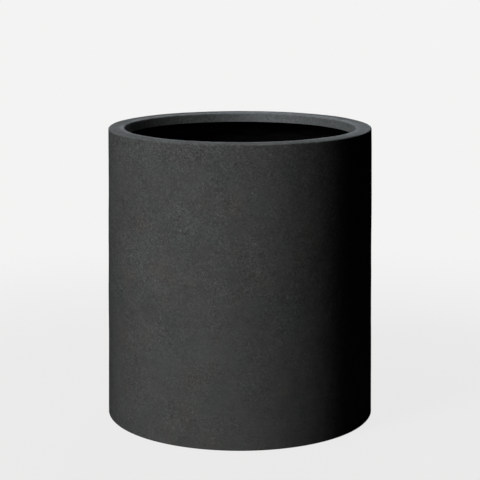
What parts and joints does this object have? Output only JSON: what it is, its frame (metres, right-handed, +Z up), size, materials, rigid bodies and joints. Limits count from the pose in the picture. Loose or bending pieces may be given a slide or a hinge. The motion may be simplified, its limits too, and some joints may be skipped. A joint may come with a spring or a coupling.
{
  "type": "round floor planter",
  "caption": "Tall round floor planter of glass fibre with a flat turned-in rim, a recessed bonded base and a plugged drain.",
  "frame": {"origin": "on the ground, under the middle of the planter", "axes": "+Z up along the planter's own axis; it is round, so +X and +Y are any two level directions at right angles"},
  "size_m": [0.4682, 0.468, 0.508],
  "materials": {
    "stone_filled_coat": "matte",
    "laminate": "matte",
    "bonding_paste": "matte",
    "plug_rubber": "matte"
  },
  "bodies": {
    "planter": {"face_coat": "stone_filled_coat", "wall_laminate": "laminate", "rim_laminate": "laminate", "base_panel": "laminate", "base_bond": "bonding_paste", "base_tape": "laminate"},
    "plug": {"drain_plug": "plug_rubber"}
  },
  "joints": [
    {"name": "drain_plug_lift", "type": "slide", "parent": "planter", "child": "plug", "axis": [0, 0, 1], "range_m": [0, 0.55]}
  ]
}
